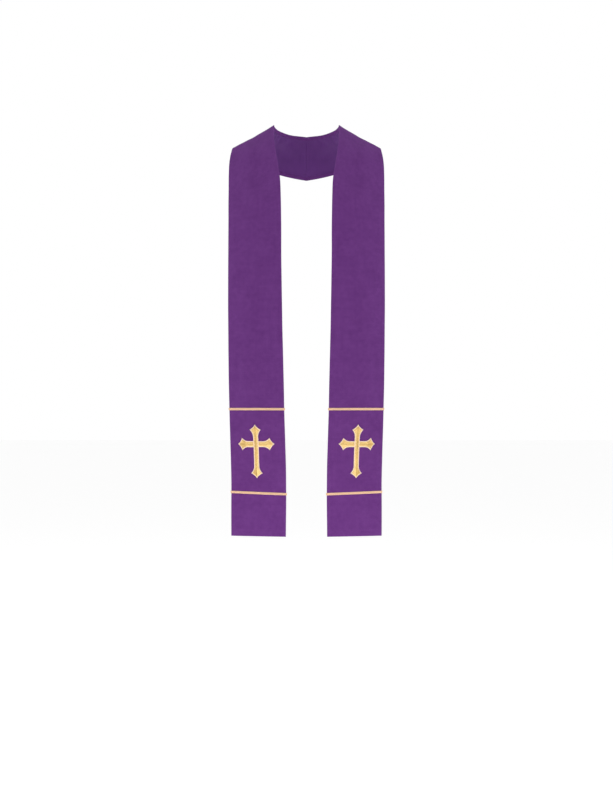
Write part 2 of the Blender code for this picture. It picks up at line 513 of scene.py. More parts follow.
FOLDS = (
    Fold(168, 0.62, 330, 0.30, 24, 2.3),       # ridge from the shoulder to the neck side
    Fold(195, 0.34, 520, 0.20, 24, -2.4),      # long hollow on the neck side of the chest
    Fold(215, 0.88, 430, 0.66, 19, -1.4),
    Fold(330, 0.60, 760, 0.50, 32, -1.2),
    Fold(470, 0.86, 740, 0.80, 18, 0.8),
    Fold(560, 0.16, 900, 0.12, 22, 1.0),
    Fold(650, 0.34, 930, 0.42, 20, -0.8),
    Fold(735, 0.74, 960, 0.60, 16, 1.0),       # faint fold above the upper braid
    Fold(770, 0.90, 1010, 0.82, 14, -0.8),
    Fold(900, 0.02, 1150, 0.05, 14, 0.8),      # the neck-side edge lifts a little
    Fold(1070, 0.28, 1262, 0.20, 26, 1.0),
    Fold(1090, 0.66, 1262, 0.76, 20, -0.9),
    Fold(1130, 0.98, 1262, 0.90, 14, 1.1),
    Fold(10, 0.55, 130, 0.30, 18, 1.7),        # across the back of the neck
    Fold(45, 1.00, 175, 0.70, 16, -2.2),
    Fold(95, 0.92, 215, 0.83, 15, 1.3),
    Fold(100, 0.60, 240, 0.46, 15, -1.5),
    Fold(28, -0.04, 52, 0.24, 6.0, 1.3),       # short puckers along the neck edge
    Fold(61, -0.04, 74, 0.31, 7.5, -1.5),
    Fold(86, -0.05, 92, 0.38, 7.0, 1.6),
    Fold(108, -0.04, 107, 0.26, 6.5, -1.3),
    Fold(129, -0.05, 121, 0.34, 8.0, 1.7),
    Fold(153, -0.04, 141, 0.22, 6.0, -1.1),
    Fold(176, -0.04, 166, 0.30, 8.0, 1.1),
    Fold(968, 0.40, 983, 0.24, 4.0, 0.35),     # drawn in at the arms of the cross
    Fold(979, 0.78, 962, 0.94, 4.5, -0.35),
    Fold(1090, 0.44, 1112, 0.36, 4.0, 0.3),
    Fold(1092, 0.60, 1113, 0.66, 4.5, -0.3),
)


@dataclass(frozen=True)
class Ripple:
    """A long, very shallow wave over the whole cloth."""

    length: float
    slant: float
    height: float
    phase: float


RIPPLES = (
    Ripple(311.0, 0.35, 0.60, 0.6),
    Ripple(187.0, -0.80, 0.35, 2.1),
    Ripple(97.0, 1.10, 0.15, 4.0),
)


@dataclass
class HalfSurface:
    """The outer face of one half, with its soft folds."""

    side: Side
    wall: float = 2.0
    neck_depth: float = 75.0        # the nape behind the shoulder ridge
    neck_rise: float = 20.0         # the side-neck points above the nape
    seam_slope: float = 0.14        # rise of the edges away from the centre-back seam
    seam_calm: float = 25.0         # distance from the seam within which folds die away
    reach: float = 1.0              # step over which directions are taken
    search_steps: int = 4001        # places tried when a run is looked up by its drop

    def __post_init__(self) -> None:
        """Fit smooth curves through the sections."""
        rows = np.array([astuple(section) for section in SECTIONS], dtype=float)
        inner = self._placed(rows[:, 0:3])
        outer = self._placed(rows[:, 3:6])
        steps = np.linalg.norm(np.diff((inner + outer) / 2, axis=0), axis=1)
        self.knots = np.concatenate(([0.0], np.cumsum(steps)))
        self.values = np.column_stack((inner, outer, rows[:, 6]))
        self.slopes = np.gradient(self.values, self.knots, axis=0)
        down = outer[0] - inner[0]
        seam = np.array((self.side.value, 0.0, 0.0))
        seam = seam - self.seam_slope * down / np.linalg.norm(down)
        self.slopes[0, 0:3] = self.slopes[0, 3:6] = seam
        self.length = float(self.knots[-1])

    def _placed(self, triples: np.ndarray) -> np.ndarray:
        """Rows of (out, forward, drop) as x, y and z about the nape."""
        out, forward, drop = triples.T
        return np.column_stack((self.side.value * out, -self.neck_depth - forward,
                                self.neck_rise - drop))

    def edges(self, run: np.ndarray) -> Tuple[np.ndarray, np.ndarray, np.ndarray]:
        """Inner edge, outer edge and crown at each run.

        Args:
            run: distances from the centre-back seam.

        Returns:
            Inner points, outer points and crowns.
        """
        run = np.clip(run, 0.0, self.length)
        index = np.clip(np.searchsorted(self.knots, run) - 1, 0, len(self.knots) - 2)
        span = (self.knots[index + 1] - self.knots[index])[..., None]
        t = (run - self.knots[index])[..., None] / span
        row = (self.values[index] * (1 + 2 * t) * (1 - t) ** 2
               + self.slopes[index] * span * t * (1 - t) ** 2
               + self.values[index + 1] * (3 - 2 * t) * t ** 2
               - self.slopes[index + 1] * span * (1 - t) * t ** 2)
        return row[..., 0:3], row[..., 3:6], row[..., 6]

    def width(self, run: float) -> float:
        """Straight width of the section at a run."""
        inner, outer, _ = self.edges(np.array([run]))
        return float(np.linalg.norm(outer - inner))

    def _rise(self, run: np.ndarray, share: np.ndarray) -> np.ndarray:
        """How far the folds and ripples lift the face.

        Args:
            run: runs of the points.
            share: shares of the points.

        Returns:
            Heights.
        """
        across = share * SHEET_WIDTH
        total = np.zeros(np.broadcast(run, share).shape)
        for fold in FOLDS:
            start = np.array((fold.start_run, fold.start_share * SHEET_WIDTH))
            reach = np.array((fold.end_run, fold.end_share * SHEET_WIDTH)) - start
            length = np.linalg.norm(reach)
            forward = reach / length
            t = ((run - start[0]) * forward[0] + (across - start[1]) * forward[1]) / length
            off = (run - start[0]) * -forward[1] + (across - start[1]) * forward[0]
            bow = fold.width * 0.25 * np.sin(math.pi * 1.3 * t)
            taper = np.clip(t, 0, 1) * np.clip(1 - t, 0, 1) * 4
            total = total + fold.height * taper * np.exp(-((off - bow) / fold.width) ** 2)
        for ripple in RIPPLES:
            angle = 2 * math.pi * (run + across * ripple.slant) / ripple.length
            total = total + ripple.height * np.sin(angle + ripple.phase)
        return total * np.clip(run / self.seam_calm, 0, 1)

    def face(self, run: np.ndarray, share: np.ndarray) -> np.ndarray:
        """Points of the outer face.

        Args:
            run: runs of the points.
            share: shares of the points.

        Returns:
            The points.
        """
        run, share = np.broadcast_arrays(np.asarray(run, float), np.asarray(share, float))
        inner, outer, crown = self.edges(run)
        before, after = self.edges(run - self.reach), self.edges(run + self.reach)
        along = (after[0] + after[1]) - (before[0] + before[1])
        normal = unit(np.cross(along, outer - inner) * self.side.value)
        bulge = crown * 4 * share * (1 - share) + self._rise(run, share)
        return inner + (outer - inner) * share[..., None] + normal * bulge[..., None]

    def directions(self, run: np.ndarray, share: np.ndarray
                   ) -> Tuple[np.ndarray, np.ndarray, np.ndarray]:
        """Outward normal, direction across and direction along the cloth.

        Args:
            run: runs of the points.
            share: shares of the points.

        Returns:
            Normals, unit vectors across and unit vectors along.
        """
        step = self.reach / SHEET_WIDTH
        low = np.clip(run - self.reach, 0, None)
        high = np.clip(run + self.reach, None, self.length)
        along = unit(self.face(high, share) - self.face(low, share))
        across = unit(self.face(run, share + step) - self.face(run, share - step))
        return unit(np.cross(along, across) * self.side.value), across, along

    def lifted(self, run: np.ndarray, share: np.ndarray, lift: np.ndarray,
               beyond: Union[float, np.ndarray] = 0.0) -> np.ndarray:
        """Points moved out along the normal, and past an edge along the section.

        Args:
            run: runs of the points.
            share: shares of the points.
            lift: distances out from the face.
            beyond: distances across, away from the neck.

        Returns:
            The points.
        """
        run, share, lift, beyond = np.broadcast_arrays(run, share, lift, beyond)
        normal, across, _ = self.directions(run, share)
        return self.face(run, share) + normal * lift[..., None] + across * beyond[..., None]

    def run_at(self, drop: float, share: float) -> float:
        """The run at which the front has come down by a drop.

        Args:
            drop: distance below the side-neck point.
            share: share at which it is measured.

        Returns:
            The run.
        """
        runs = np.linspace(self.knots[RIDGE_SECTION], self.length, self.search_steps)
        heights = self.face(runs, np.full_like(runs, share))[:, 2]
        return float(np.interp(-(self.neck_rise - drop), -heights, runs))


# ---- Mesh helpers ----
def make_piece(name: str, points: np.ndarray, faces: Sequence[Sequence[int]],
               numbers: Dict[str, np.ndarray], materials: Sequence[bpy.types.Material]
               ) -> bpy.types.Object:
    """Make one smooth-shaded mesh object.

    Args:
        name: the piece's name.
        points: its points in millimetres.
        faces: corner numbers of each face.
        numbers: a number or a vector for each point, by attribute name.
        materials: its materials.

    Returns:
        The object.
    """
    mesh = bpy.data.meshes.new(name)
    mesh.from_pydata((points * MM).tolist(), [], faces)
    for key, values in numbers.items():
        if values.ndim == 1:
            layer = mesh.attributes.new(key, "FLOAT", "POINT")
            layer.data.foreach_set("value", values.astype(np.float32))
        else:
            layer = mesh.attributes.new(key, "FLOAT_VECTOR", "POINT")
            layer.data.foreach_set("vector", values.astype(np.float32).ravel())
    for material in materials:
        mesh.materials.append(material)
    mesh.shade_smooth()
    mesh.update()
    piece = bpy.data.objects.new(name, mesh)
    bpy.context.scene.collection.objects.link(piece)
    LOG.info("%s: %d triangles", name, sum(len(face) - 2 for face in faces))
    return piece


@dataclass(frozen=True)
class Strands:
    """Many threads as closed tubes, all with the same number of points."""

    half_width: float
    half_height: float
    sides: int = 6
    end_share: float = 0.45         # size of the tapered ends

    def build(self, paths: np.ndarray, ups: np.ndarray, tones: np.ndarray) -> Shape:
        """Tubes round a set of paths.

        Args:
            paths: points of each path, as threads by points by 3.
            ups: the outward direction at each point.
            tones: a number from 0 to 1 for each thread.

        Returns:
            The tubes.
        """
        threads, count, _ = paths.shape
        forward = unit(np.gradient(paths, axis=1))
        aside = unit(np.cross(forward, ups))
        up = np.cross(aside, forward)
        angles = 2 * math.pi * (np.arange(self.sides) + 0.5) / self.sides
        size = np.ones(count)
        size[[0, -1]] = self.end_share
        ring = (aside[:, :, None, :] * (np.cos(angles) * self.half_width)[None, None, :, None]
                + up[:, :, None, :] * (np.sin(angles) * self.half_height)[None, None, :, None])
        points = paths[:, :, None, :] + ring * size[None, :, None, None]
        number = np.arange(threads * count * self.sides).reshape(threads, count, self.sides)
        here, there = number[:, :-1, :], number[:, 1:, :]
        quads = np.stack((here, np.roll(here, -1, 2), np.roll(there, -1, 2), there), -1)
        faces = quads.reshape(-1, 4).tolist()
        faces += number[:, 0, ::-1].tolist()
        faces += number[:, -1, :].tolist()
        steps = np.linalg.norm(np.diff(paths, axis=1), axis=2)
        along = np.concatenate((np.zeros((threads, 1)), np.cumsum(steps, axis=1)), axis=1)
        numbers = {
            "along": np.repeat(along.ravel(), self.sides),
            "tone": np.repeat(tones, count * self.sides),
            "lie": points.reshape(-1, 3),
        }
        return points.reshape(-1, 3), faces, numbers


def joined(parts: Sequence[Shape]) -> Shape:
    """Join several shapes.

    Args:
        parts: the shapes.

    Returns:
        One shape.
    """
    faces: List[List[int]] = []
    start = 0
    for points, own, _ in parts:
        faces += [[corner + start for corner in face] for face in own]
        start += len(points)
    numbers = {key: np.concatenate([part[2][key] for part in parts]) for key in parts[0][2]}
    return np.concatenate([part[0] for part in parts]), faces, numbers


# ---- The cloth of one half ----
@dataclass
class ClothHalf:
    """One half of the stole: twill turned in round its edges over a lining."""

    surface: HalfSurface
    station_step: float = 2.7       # spacing of the mesh along the cloth
    column_step: float = 2.7        # spacing of the mesh across it
    round_steps: int = 5            # faces round a folded edge
    hem_round: float = 84.0         # degrees through which the hem's edge is rounded
    seam_round: float = 1.1         # width of the rounding beside the seam
    seam_share: float = 0.66        # of the thickness that is left at the seam
    seam_steps: int = 3             # faces across that rounding
    turning: float = 12.0           # cloth turned in along the long edges
    hem_turning: float = 30.0       # cloth turned up at the hem
    turning_rise: float = 0.40      # thickness that the turning adds behind
    turning_edge: float = 0.5       # half the width of the step at its edge
    lining_reach: float = 0.01      # how far the lining's faces may reach on to the turnings
    stitch_pitch: float = 7.0       # spacing of the slip stitches
    stitch_length: float = 2.4
    stitch_half_width: float = 0.17
    stitch_half_height: float = 0.15
    stitch_hump: float = 0.12       # how far the middle of a stitch stands off
    stitch_gap: float = 0.2         # between the turning's edge and the stitches

    @property
    def node(self) -> str:
        """The node that the cloth stands for."""
        return f"{self.surface.side.word}_half"

    def _inside_turnings(self, run: np.ndarray, share: np.ndarray) -> np.ndarray:
        """Distance in from the edge of the turnings, below 0 on them."""
        side = np.minimum(share, 1 - share) * SHEET_WIDTH - self.turning
        return np.minimum(side, self.surface.length - run - self.hem_turning)

    def _turned(self, run: np.ndarray, share: np.ndarray) -> np.ndarray:
        """How far the turnings stand out behind the plain cloth."""
        inside = self._inside_turnings(run, share)
        return self.turning_rise * (1 - smooth_step(inside, -self.turning_edge,
                                                    self.turning_edge))

    def _stations(self) -> Tuple[np.ndarray, np.ndarray]:
        """Place the mesh's sections.

        Returns:
            Their runs and the half thickness at each.
        """
        radius = self.surface.wall / 2
        line = self.surface.length - self.hem_turning
        middle = spaced((self.seam_round, line - self.turning_edge, line + self.turning_edge,
                         self.surface.length - radius), self.station_step)
        turn = np.radians(np.linspace(0, self.hem_round, self.round_steps + 1)[1:])
        groove = np.linspace(0, 1, self.seam_steps + 1)[:-1]
        last = self.surface.length - radius + radius * np.sin(turn)
        runs = np.concatenate((groove * self.seam_round, middle, last))
        seam = self.seam_share + (1 - self.seam_share) * np.sqrt(1 - (1 - groove) ** 2)
        thickness = np.concatenate((radius * seam, np.full(len(middle), radius),
                                    radius * np.cos(turn)))
        return runs, thickness

    def _columns(self) -> np.ndarray:
        """Place the mesh's lines along the cloth.

        Returns:
            Their shares.
        """
        inset = self.surface.wall / 2
        line = self.turning
        far = SHEET_WIDTH - line
        edge = self.turning_edge
        marks = (inset, line - edge, line + edge, far - edge, far + edge, SHEET_WIDTH - inset)
        return spaced(marks, self.column_step) / SHEET_WIDTH

    def _loop(self) -> Tuple[np.ndarray, np.ndarray, int]:
        """One section's points in order: front, outer edge, back and neck edge.

        Returns:
            Their shares, the angle each has turned from facing out, and how many are in front.
        """
        shares = self._columns()
        arc = math.pi * np.arange(1, self.round_steps) / self.round_steps
        flat = np.zeros(len(shares))
        share = np.concatenate((shares, np.full(len(arc), shares[-1]),
                                shares[::-1], np.full(len(arc), shares[0])))
        return share, np.concatenate((flat, arc, flat + math.pi, arc + math.pi)), len(shares)

    def _numbers(self, run: np.ndarray, share: np.ndarray, tilt: np.ndarray
                 ) -> Dict[str, np.ndarray]:
        """Numbers that the finishes read at each point.

        Args:
            run: runs of the points, by section and place round the loop.
            share: their shares.
            tilt: angle from facing out, by place round the loop.

        Returns:
            Distance in from the nearest edge, and places in the twill and in the lining.
        """
        edge = np.minimum(np.minimum(share, 1 - share) * SHEET_WIDTH - self.surface.wall / 2,
                          self.surface.length - run)
        plain = np.stack((share * SHEET_WIDTH, run, np.zeros_like(run)), -1)
        wrapped = plain.copy()
        wrapped[..., 0] = self._wrapped_across(share[0], np.cos(tilt))[None, :]
        return {"edge": np.maximum(edge, 0).ravel(), "weave": wrapped.reshape(-1, 3),
                "lining_weave": plain.reshape(-1, 3)}

    def build(self, twill: bpy.types.Material, lining: bpy.types.Material
              ) -> bpy.types.Object:
        """Build the sheet: front, rounded edges and back as one closed mesh.

        Args:
            twill: finish of the face and its turnings.
            lining: finish of the back between them.

        Returns:
            The piece.
        """
        surface = self.surface
        radius = surface.wall / 2
        runs, thickness = self._stations()
        share_loop, tilt, front = self._loop()
        run_grid, share_grid = np.meshgrid(runs, share_loop, indexing="ij")
        half = thickness[:, None]
        behind = np.broadcast_to(tilt == math.pi, run_grid.shape)
        back = behind * self._turned(run_grid, share_grid)
        lift = -radius + np.cos(tilt)[None, :] * half - back * half / radius
        points = surface.lifted(run_grid, share_grid, lift, np.sin(tilt)[None, :] * half)
        points[0, :, 0] = 0.0               # the halves meet on the centre plane
        number = np.arange(run_grid.size).reshape(run_grid.shape)
        here, there = number[:-1], number[1:]
        quads = np.stack((here, there, np.roll(there, -1, 1), np.roll(here, -1, 1)), -1)
        quads = quads.reshape(-1, 4)
        lined = behind & (self._inside_turnings(run_grid, share_grid) > -self.lining_reach)
        lined = lined.ravel()[quads].all(axis=1)
        faces = (quads if surface.side is Side.LEFT else quads[:, ::-1]).tolist()
        ends = self._end_faces(number, front)
        numbers = self._numbers(run_grid, share_grid, tilt)
        piece = make_piece(f"{surface.side.word}_cloth", points.reshape(-1, 3), faces + ends,
                           numbers, [twill, lining])
        finishes = np.concatenate((lined, np.zeros(len(ends), dtype=bool)))
        piece.data.polygons.foreach_set("material_index", finishes.astype(np.int32))
        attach(piece, BODY)
        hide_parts(self.node)
        return piece

    def _wrapped_across(self, share: np.ndarray, rise: np.ndarray) -> np.ndarray:
        """Place across the twill, measured on round both folded edges.

        Args:
            share: shares round the loop.
            rise: 1 on the front and -1 behind, round the loop.

        Returns:
            Millimetres of cloth from the neck edge of the front.
        """
        outward = np.where(share > 0.5, 1.0, -1.0)
        edge = np.where(share > 0.5, SHEET_WIDTH, 0.0)
        arc = self.surface.wall / 2 * np.arccos(np.clip(rise, -1, 1))
        from_edge = np.abs(share * SHEET_WIDTH - edge)
        return edge + outward * (arc + np.where(rise < 0, from_edge, -from_edge))

    def _end_faces(self, number: np.ndarray, count: int) -> List[List[int]]:
        """Faces that close the seam end and the hem end.

        Args:
            number: point numbers by section and place round the loop.
            count: points across the front, and across the back.

        Returns:
            The faces.
        """
        faces = []
        turn = self.round_steps - 1
        for row, last in ((number[0], False), (number[-1], True)):
            front = row[:count]
            behind = row[count + turn:2 * count + turn][::-1]
            own = np.stack((front[:-1], front[1:], behind[1:], behind[:-1]), -1).tolist()
            own.append(row[count - 1:count + turn + 1].tolist())
            own.append(np.concatenate((row[2 * count + turn - 1:], row[:1])).tolist())
            if last == (self.surface.side is Side.LEFT):
                own = [face[::-1] for face in own]
            faces += own
        return faces

    def build_stitches(self, material: bpy.types.Material) -> bpy.types.Object:
        """Slip stitches that hold the turnings down behind.

        Args:
            material: the sewing thread.

        Returns:
            The piece.
        """
        surface = self.surface
        draw = np.random.default_rng(11 + surface.side.value)
        edge_share = (self.turning + self.stitch_gap) / SHEET_WIDTH
        last = surface.length - self.hem_turning
        starts = [(run, share, 0.55, lean)
                  for share, lean in ((edge_share, -0.8), (1 - edge_share, 0.8))
                  for run in np.arange(self.turning + 6, last - 4, self.stitch_pitch)]
        starts += [(last + self.stitch_gap, share, 0.8, 0.55) for share in np.arange(
            edge_share, 1 - edge_share, self.stitch_pitch / SHEET_WIDTH)]
        table = np.array(starts)            # run, share, and steps along and across
        table[:, 0:1] += draw.uniform(-0.6, 0.6, (len(table), 1))
        t = np.linspace(-0.5, 0.5, 5)[None, :]
        run = table[:, 0:1] + t * self.stitch_length * table[:, 2:3]
        share = table[:, 1:2] + t * self.stitch_length * table[:, 3:4] / SHEET_WIDTH
        hump = self.stitch_hump * np.cos(math.pi * t)
        lift = -surface.wall - self._turned(run, share) - hump
        paths = surface.lifted(run, share, lift)
        normal, _, _ = surface.directions(run, share)
        tones = draw.uniform(0, 1, len(table))
        made = Strands(self.stitch_half_width, self.stitch_half_height).build(
            paths, -normal, tones)
        piece = make_piece(f"slip_stitches_{surface.side.word}", *made, [material])
        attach(piece, BODY)
        return piece


# ---- Gold braid ----
@dataclass
class GoldBraid:
    """A narrow flat plait laid across the front, its ends turned on to the back.

    Each strand is three threads side by side, and passes over one strand and under the next.
    """

    surface: HalfSurface
    place: str                      # "upper" or "lower"
    inner_drop: float
    outer_drop: float
    width: float = 6.1
    lower: float = 0.6              # its middle below the drops given
    turn: float = 8.0               # length turned on to the back at each edge
    strands: int = 7
    threads: Tuple[float, ...] = (-1.0, 0.0, 1.0)   # places of a strand's threads across it
    cycle: float = 27.0             # length in which a strand crosses over and back
    thread_width: float = 0.56
    thread_height: float = 0.44
    weave_height: float = 0.34      # how far a strand rises over its neighbours
    clearance: float = 0.08         # between the cloth and the lowest threads
    turning_clear: float = 0.45     # extra room behind for the turned cloth
    packing: float = 0.96           # spacing of a strand's threads, in thread widths
    outer_sink: float = 0.07        # how much lower its outer threads lie
    step: float = 0.55              # spacing of the points along it

    @property
    def node(self) -> str:
        """The node that the braid stands for."""
        return f"{self.place}_trim_{self.surface.side.word}"

    @property
    def _arc(self) -> float:
        """Length of the turn round an edge of the cloth."""
        return math.pi * (self.surface.wall / 2 + self.clearance + self.weave_height)

    def _wrapped(self, along: np.ndarray, aside: np.ndarray, height: np.ndarray
                 ) -> Tuple[np.ndarray, np.ndarray]:
        """Points round the cloth and the direction away from it.

        Args:
            along: distance along the braid, 0 at the neck edge of the front.
            aside: distance down from the braid's middle line.
            height: distance off the cloth.

        Returns:
            Points and outward directions.
        """
        surface = self.surface
        inner_run = surface.run_at(self.inner_drop, 0.0)
        outer_run = surface.run_at(self.outer_drop, 1.0)
        width = surface.width(inner_run)
        half_wall = surface.wall / 2
        past = np.clip(np.maximum(along - width, -along), 0, None)
        angle = np.clip(past / self._arc, 0, 1) * math.pi
        back = np.clip(past - self._arc, 0, None)
        outward = np.where(along > width / 2, 1.0, -1.0)
        share = (np.clip(along, 0, width) - back * outward) / width
        radius = half_wall + height
        lift = np.cos(angle) * radius - half_wall
        lift = lift - (angle >= math.pi) * self.turning_clear
        beyond = np.sin(angle) * radius * outward
        run = inner_run + (outer_run - inner_run) * share + self.lower + aside
        normal, across, _ = surface.directions(run, share)
        facing = (normal * np.cos(angle)[..., None]
                  + across * (np.sin(angle) * outward)[..., None])
        return surface.lifted(run, share, lift, beyond), facing

    def build(self, material: bpy.types.Material) -> bpy.types.Object:
        """Plait the strands.

        Args:
            material: the braid's thread.

        Returns:
            The piece.
        """
        surface = self.surface
        draw = np.random.default_rng(29)
        width = surface.width(surface.run_at(self.inner_drop, 0.0))
        low, high = -self._arc - self.turn, width + self._arc + self.turn
        along = np.linspace(low, high, round((high - low) / self.step))
        number = np.repeat(np.arange(self.strands), len(self.threads))[:, None]
        offset = np.tile(self.threads, self.strands)[:, None]
        phase = 2 * math.pi * (along[None, :] / self.cycle + number / self.strands)
        swing = (self.width - self.thread_width * len(self.threads)) / 2
        slope = swing * 2 * math.pi / self.cycle * np.cos(phase)
        square = offset * self.thread_width * self.packing / np.sqrt(1 + slope ** 2)
        aside = swing * np.sin(phase) + square
        rest = self.clearance + self.thread_height / 2 + self.weave_height
        height = rest + self.weave_height * np.sin((self.strands - 1) * phase)
        height = height - self.outer_sink * np.abs(offset)
        points, facing = self._wrapped(along[None, :] - square * slope, aside, height)
        tones = np.repeat(draw.uniform(0.35, 0.85, self.strands), len(self.threads))
        tones = np.clip(tones + draw.uniform(-0.15, 0.15, len(tones)), 0, 1)
        thread = Strands(self.thread_width / 2, self.thread_height / 2, sides=5, end_share=0.6)
        made = thread.build(points, facing, tones)
        piece = make_piece(f"{self.place}_braid_{surface.side.word}", *made, [material])
        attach(piece, BODY)
        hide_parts(self.node)
        return piece


# ---- Embroidered cross ----
@dataclass(frozen=True)
class Arm:
    """One arm of the cross, which widens to a shoulder and ends in a hollow-sided point."""

    across: int                     # direction away from the centre
    up: int
    reach: float                    # from the centre to the tip
    bar_half: float
    flare_half: float               # half width at the shoulder
    point: float                    # from the shoulder to the tip
    flare: float                    # length over which the bar widens
    start: float                    # where the arm comes out from under the other bar
    tones: Tuple[float, float, float]   # painted sheen of the fill on each side, and its change at the end
    lean: float = 0.0               # how far the tip is drawn aside

    def half_width(self, from_tip: np.ndarray) -> np.ndarray:
        """Half width of the arm.

        Args:
            from_tip: distances from the tip.

        Returns:
            Half widths there.
        """
        pointed = TIP_HALF + (self.flare_half - TIP_HALF) * np.clip(
            from_tip / self.point, 0, 1) ** TIP_POWER
        closing = 1 - np.clip((from_tip - self.point) / self.flare, 0, 1)
        flared = self.bar_half + (self.flare_half - self.bar_half) * closing ** 2
        return np.where(from_tip < self.point, pointed, flared)

    def outline(self) -> np.ndarray:
        """The arm's outline, from its start out to the tip and back.

        Returns:
            Points (across the arm, away from the centre).
        """
        tip = np.linspace(0, self.point, 13)
        flare = self.point + np.linspace(0, self.flare, 15)[1:]
        bar = np.linspace(self.point + self.flare, self.reach - self.start, 9)[1:]
        from_tip = np.concatenate((tip, flare, bar))
        half = self.half_width(from_tip)
        right = np.column_stack((half, self.reach - from_tip))[::-1]
        left = np.column_stack((-half, self.reach - from_tip))
        return np.concatenate((right, left))

    def turned(self, places: np.ndarray) -> np.ndarray:
        """Arm places (aside, away) as cross places (across, up).

        Args:
            places: places whose last axis is aside and away.

        Returns:
            The same places about the centre of the cross.
        """
        away = places[..., 1]
        aside = places[..., 0] + self.lean * np.clip(away / self.reach, 0, 1) ** 1.3
        return np.stack((self.across * away + self.up * aside,
                         self.up * away - self.across * aside), -1)


UPRIGHT_HALF = 6.7
CROSSBAR_HALF = 7.75
TIP_HALF = 1.2
TIP_POWER = 1.55                    # above 1 makes the sides of the points hollow
# Each arm's tones are painted sheen on its fill: stitches of one slant drawn lighter than those
# of the other, and the tip drawn darker or lighter.
TOP = Arm(0, 1, 49.0, UPRIGHT_HALF, 14.3, 12.4, 18.0, 0.0, (0.40, 0.74, -0.04), 1.9)
FOOT = Arm(0, -1, 85.5, UPRIGHT_HALF, 15.0, 11.8, 18.0, 0.0, (0.76, 0.40, -0.04))
OUTER = Arm(1, 0, 46.9, CROSSBAR_HALF, 15.6, 10.3, 15.0, UPRIGHT_HALF - 1.2,
            (0.74, 0.62, -0.34), -0.4)
INNER = Arm(-1, 0, 46.9, CROSSBAR_HALF - 0.25, 15.3, 11.6, 16.0, UPRIGHT_HALF - 1.2,
            (0.62, 0.80, 0.06), 0.6)


